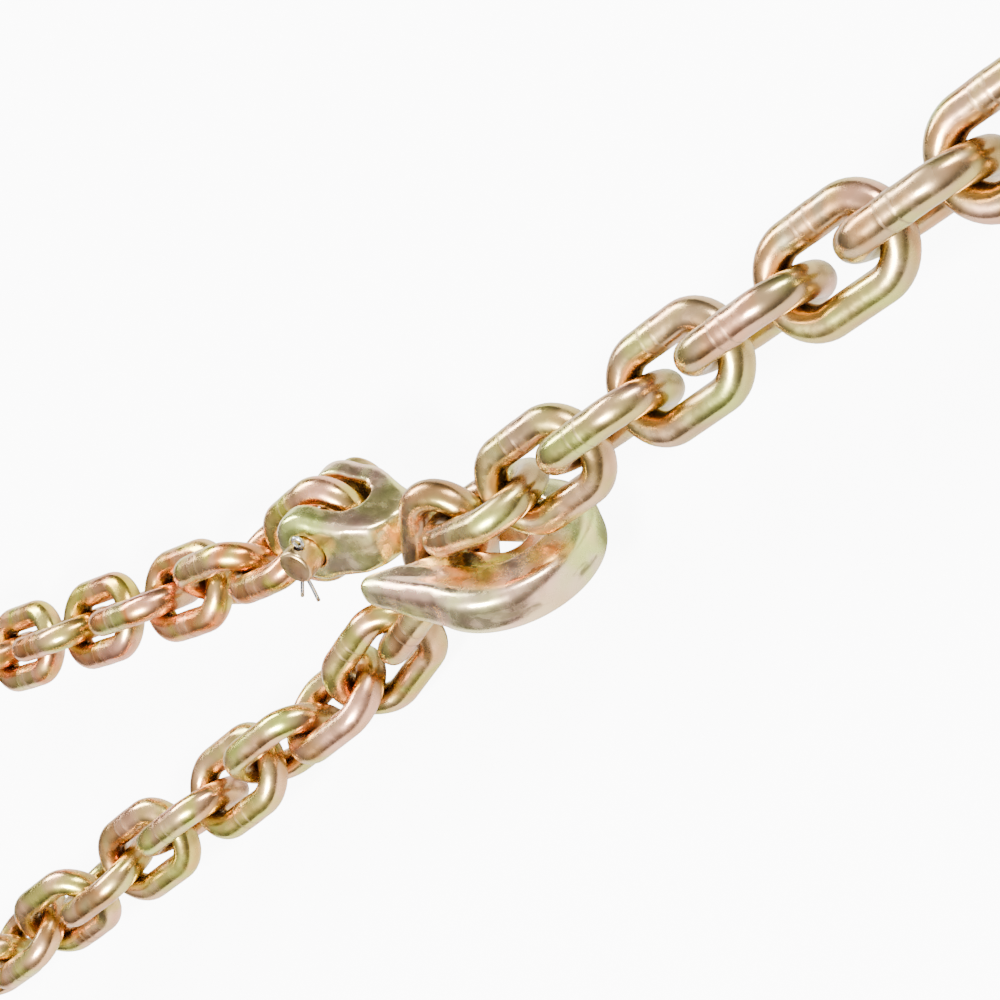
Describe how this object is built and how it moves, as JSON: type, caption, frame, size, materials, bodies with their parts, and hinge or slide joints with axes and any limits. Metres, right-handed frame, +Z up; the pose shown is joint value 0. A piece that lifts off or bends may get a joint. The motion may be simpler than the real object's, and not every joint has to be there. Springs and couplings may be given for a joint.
{
  "type": "load binder chain",
  "caption": "Welded-link load binder chain with a clevis grab hook choked onto its own link, a second clevis grab hook on the loaded run, and two free link ends.",
  "frame": {"origin": "centre of the footprint on the floor the chain lies on", "axes": "+X along the loaded run towards the second hook, +Y towards the pin run's free end, +Z up"},
  "size_m": [0.8348, 0.1988, 0.057],
  "materials": {
    "zinc_link": "yellow zinc plated, iridescent",
    "zinc_hook": "forged, yellow zinc plated, satin",
    "zinc_pin": "yellow zinc plated, olive",
    "bright_zinc": "bright zinc plated"
  },
  "bodies": {
    "grab_hook": {"grab_hook": "zinc_hook"},
    "grab_pin": {"grab_clevis_pin": "zinc_pin", "grab_cotter": "bright_zinc"},
    "far_hook": {"far_hook": "zinc_hook"},
    "far_pin": {"far_clevis_pin": "zinc_pin", "far_cotter": "bright_zinc"},
    "gripped_link": {"gripped_link": "zinc_link"},
    "pin_run_link_01": {"pin_run_link_01": "zinc_link"},
    "pin_run_link_02": {"pin_run_link_02": "zinc_link"},
    "pin_run_link_03": {"pin_run_link_03": "zinc_link"},
    "pin_run_link_04": {"pin_run_link_04": "zinc_link"},
    "pin_run_link_05": {"pin_run_link_05": "zinc_link"},
    "pin_run_link_06": {"pin_run_link_06": "zinc_link"},
    "pin_run_link_07": {"pin_run_link_07": "zinc_link"},
    "pin_run_link_08": {"pin_run_link_08": "zinc_link"},
    "pin_run_link_09": {"pin_run_link_09": "zinc_link"},
    "pin_run_link_10": {"pin_run_link_10": "zinc_link"},
    "load_run_link_01": {"load_run_link_01": "zinc_link"},
    "load_run_link_02": {"load_run_link_02": "zinc_link"},
    "load_run_link_03": {"load_run_link_03": "zinc_link"},
    "load_run_link_04": {"load_run_link_04": "zinc_link"},
    "load_run_link_05": {"load_run_link_05": "zinc_link"},
    "load_run_link_06": {"load_run_link_06": "zinc_link"},
    "load_run_link_07": {"load_run_link_07": "zinc_link"},
    "load_run_link_08": {"load_run_link_08": "zinc_link"},
    "load_run_link_09": {"load_run_link_09": "zinc_link"},
    "load_run_link_10": {"load_run_link_10": "zinc_link"},
    "load_run_link_11": {"load_run_link_11": "zinc_link"},
    "tail_run_link_01": {"tail_run_link_01": "zinc_link"},
    "tail_run_link_02": {"tail_run_link_02": "zinc_link"},
    "tail_run_link_03": {"tail_run_link_03": "zinc_link"},
    "tail_run_link_04": {"tail_run_link_04": "zinc_link"},
    "tail_run_link_05": {"tail_run_link_05": "zinc_link"},
    "tail_run_link_06": {"tail_run_link_06": "zinc_link"},
    "tail_run_link_07": {"tail_run_link_07": "zinc_link"},
    "tail_run_link_08": {"tail_run_link_08": "zinc_link"},
    "tail_run_link_09": {"tail_run_link_09": "zinc_link"},
    "tail_run_link_10": {"tail_run_link_10": "zinc_link"},
    "tail_run_link_11": {"tail_run_link_11": "zinc_link"},
    "tail_run_link_12": {"tail_run_link_12": "zinc_link"}
  },
  "joints": [
    {"name": "grab_pin_turn", "type": "hinge", "parent": "grab_hook", "child": "grab_pin", "pos_m": [-0.07269, 0.0051, 0.03599], "axis": [0.1464, 0.6749, -0.7232], "continuous": true},
    {"name": "grip_slide", "type": "slide", "parent": "grab_hook", "child": "gripped_link", "axis": [0.8508, -0.4589, -0.2559], "range_m": [-0.002, 0.008]},
    {"name": "pin_run_swing_01", "type": "hinge", "parent": "grab_hook", "child": "pin_run_link_01", "pos_m": [-0.07269, 0.0051, 0.03599], "axis": [0.1464, 0.6749, -0.7232], "range_deg": [-14, 14]},
    {"name": "pin_run_swing_02", "type": "hinge", "parent": "pin_run_link_01", "child": "pin_run_link_02", "pos_m": [-0.10202, 0.00985, 0.03343], "axis": [0.0116, 0.7299, 0.6835], "range_deg": [-14, 14]},
    {"name": "pin_run_swing_03", "type": "hinge", "parent": "pin_run_link_02", "child": "pin_run_link_03", "pos_m": [-0.13152, 0.01757, 0.03157], "axis": [0.2398, 0.7892, -0.5653], "range_deg": [-1, 3]},
    {"name": "pin_run_swing_04", "type": "hinge", "parent": "pin_run_link_03", "child": "pin_run_link_04", "pos_m": [-0.16097, 0.02556, 0.03045], "axis": [-0.0147, -0.2814, -0.9595], "range_deg": [-3, 2]},
    {"name": "pin_run_swing_05", "type": "hinge", "parent": "pin_run_link_04", "child": "pin_run_link_05", "pos_m": [-0.19039, 0.03378, 0.03068], "axis": [0.2674, 0.9626, 0.0436], "range_deg": [-8, 7]},
    {"name": "pin_run_swing_06", "type": "hinge", "parent": "pin_run_link_05", "child": "pin_run_link_06", "pos_m": [-0.21977, 0.04215, 0.0308], "axis": [0.0884, 0.3304, -0.9397], "range_deg": [-7, 8]},
    {"name": "pin_run_swing_07", "type": "hinge", "parent": "pin_run_link_06", "child": "pin_run_link_07", "pos_m": [-0.24911, 0.05068, 0.03081], "axis": [0.2771, 0.9598, 0.0436], "range_deg": [-8, 7]},
    {"name": "pin_run_swing_08", "type": "hinge", "parent": "pin_run_link_07", "child": "pin_run_link_08", "pos_m": [-0.2784, 0.05935, 0.03072], "axis": [0.0981, 0.3276, -0.9397], "range_deg": [-7, 8]},
    {"name": "pin_run_swing_09", "type": "hinge", "parent": "pin_run_link_08", "child": "pin_run_link_09", "pos_m": [-0.30764, 0.06819, 0.03053], "axis": [0.2869, 0.957, 0.0436], "range_deg": [-8, 7]},
    {"name": "pin_run_swing_10", "type": "hinge", "parent": "pin_run_link_09", "child": "pin_run_link_10", "pos_m": [-0.33684, 0.07717, 0.03022], "axis": [0.1078, 0.3247, -0.9397], "range_deg": [-7, 8]},
    {"name": "load_run_swing_01", "type": "hinge", "parent": "gripped_link", "child": "load_run_link_01", "pos_m": [-0.02085, -0.02337, 0.03513], "axis": [-0.245, -0.6129, 0.7512], "range_deg": [-2, 14]},
    {"name": "load_run_swing_02", "type": "hinge", "parent": "load_run_link_01", "child": "load_run_link_02", "pos_m": [0.00845, -0.03149, 0.03806], "axis": [-0.0439, -0.8027, -0.5948], "range_deg": [-14, 8]},
    {"name": "load_run_swing_03", "type": "hinge", "parent": "load_run_link_02", "child": "load_run_link_03", "pos_m": [0.03894, -0.03336, 0.03833], "axis": [0.027, 0.3245, -0.9455], "range_deg": [-7, 7]},
    {"name": "load_run_swing_04", "type": "hinge", "parent": "load_run_link_03", "child": "load_run_link_04", "pos_m": [0.06943, -0.03528, 0.03854], "axis": [-0.0581, -0.9286, -0.3665], "range_deg": [-14, 14]},
    {"name": "load_run_swing_05", "type": "hinge", "parent": "load_run_link_04", "child": "load_run_link_05", "pos_m": [0.09992, -0.03725, 0.0387], "axis": [0.0249, 0.3246, -0.9455], "range_deg": [-14, 14]},
    {"name": "load_run_swing_06", "type": "hinge", "parent": "load_run_link_05", "child": "load_run_link_06", "pos_m": [0.1304, -0.03927, 0.03881], "axis": [-0.0626, -0.9283, -0.3665], "range_deg": [-14, 14]},
    {"name": "load_run_swing_07", "type": "hinge", "parent": "load_run_link_06", "child": "load_run_link_07", "pos_m": [0.16088, -0.04135, 0.03886], "axis": [0.0227, 0.3248, -0.9455], "range_deg": [-14, 14]},
    {"name": "load_run_swing_08", "type": "hinge", "parent": "load_run_link_07", "child": "load_run_link_08", "pos_m": [0.19135, -0.04348, 0.03886], "axis": [-0.0672, -0.928, -0.3665], "range_deg": [-14, 14]},
    {"name": "load_run_swing_09", "type": "hinge", "parent": "load_run_link_08", "child": "load_run_link_09", "pos_m": [0.22183, -0.04566, 0.03881], "axis": [0.0206, 0.3249, -0.9455], "range_deg": [-14, 14]},
    {"name": "load_run_swing_10", "type": "hinge", "parent": "load_run_link_09", "child": "load_run_link_10", "pos_m": [0.25229, -0.0479, 0.0387], "axis": [-0.1013, -0.983, -0.153], "range_deg": [-14, 14]},
    {"name": "load_run_swing_11", "type": "hinge", "parent": "load_run_link_10", "child": "load_run_link_11", "pos_m": [0.2821, -0.04999, 0.03235], "axis": [-0.2743, 0.0319, -0.9611], "range_deg": [-14, 14]},
    {"name": "tail_run_swing_01", "type": "hinge", "parent": "gripped_link", "child": "tail_run_link_01", "pos_m": [-0.03671, -0.03038, 0.02537], "axis": [0.021, 0.7255, -0.6879], "range_deg": [-14, 7]},
    {"name": "tail_run_swing_02", "type": "hinge", "parent": "tail_run_link_01", "child": "tail_run_link_02", "pos_m": [-0.0668, -0.03355, 0.02112], "axis": [0.1362, -0.4596, -0.8776], "range_deg": [-14, 7]},
    {"name": "tail_run_swing_03", "type": "hinge", "parent": "tail_run_link_02", "child": "tail_run_link_03", "pos_m": [-0.09675, -0.03937, 0.01952], "axis": [-0.0442, 0.923, -0.3822], "range_deg": [-6, 8]},
    {"name": "tail_run_swing_04", "type": "hinge", "parent": "tail_run_link_03", "child": "tail_run_link_04", "pos_m": [-0.12724, -0.04017, 0.02112], "axis": [-0.0501, -0.0883, -0.9948], "range_deg": [-7, 7]},
    {"name": "tail_run_swing_05", "type": "hinge", "parent": "tail_run_link_04", "child": "tail_run_link_05", "pos_m": [-0.15774, -0.04086, 0.02272], "axis": [-0.0131, 0.9933, 0.1148], "range_deg": [-14, 8]},
    {"name": "tail_run_swing_06", "type": "hinge", "parent": "tail_run_link_05", "child": "tail_run_link_06", "pos_m": [-0.18825, -0.04144, 0.02432], "axis": [-0.0546, 0.3115, -0.9487], "range_deg": [-14, 8]},
    {"name": "tail_run_swing_07", "type": "hinge", "parent": "tail_run_link_06", "child": "tail_run_link_07", "pos_m": [-0.21875, -0.04192, 0.02592], "axis": [0.0154, 0.868, 0.4963], "range_deg": [-14, 8]},
    {"name": "tail_run_swing_08", "type": "hinge", "parent": "tail_run_link_07", "child": "tail_run_link_08", "pos_m": [-0.24926, -0.0423, 0.02752], "axis": [-0.045, 0.6609, -0.7491], "range_deg": [-14, 8]},
    {"name": "tail_run_swing_09", "type": "hinge", "parent": "tail_run_link_08", "child": "tail_run_link_09", "pos_m": [-0.27976, -0.04256, 0.02912], "axis": [0.0386, 0.602, 0.7975], "range_deg": [-14, 8]},
    {"name": "tail_run_swing_10", "type": "hinge", "parent": "tail_run_link_09", "child": "tail_run_link_10", "pos_m": [-0.31027, -0.04272, 0.03071], "axis": [-0.024, 0.9033, -0.4283], "range_deg": [-14, 8]},
    {"name": "tail_run_swing_11", "type": "hinge", "parent": "tail_run_link_10", "child": "tail_run_link_11", "pos_m": [-0.34078, -0.04278, 0.03231], "axis": [-0.0512, -0.2384, -0.9698], "range_deg": [-14, 8]},
    {"name": "tail_run_swing_12", "type": "hinge", "parent": "tail_run_link_11", "child": "tail_run_link_12", "pos_m": [-0.37129, -0.04272, 0.03391], "axis": [0.0032, 0.9993, -0.0383], "range_deg": [-14, 8]},
    {"name": "far_hook_swing", "type": "hinge", "parent": "load_run_link_11", "child": "far_hook", "pos_m": [0.31081, -0.05149, 0.02411], "axis": [-0.0571, -0.9982, -0.0168], "range_deg": [-25, 35]},
    {"name": "far_pin_turn", "type": "hinge", "parent": "far_hook", "child": "far_pin", "pos_m": [0.31081, -0.05149, 0.02411], "axis": [0.0571, 0.9982, 0.0168], "continuous": true}
  ]
}
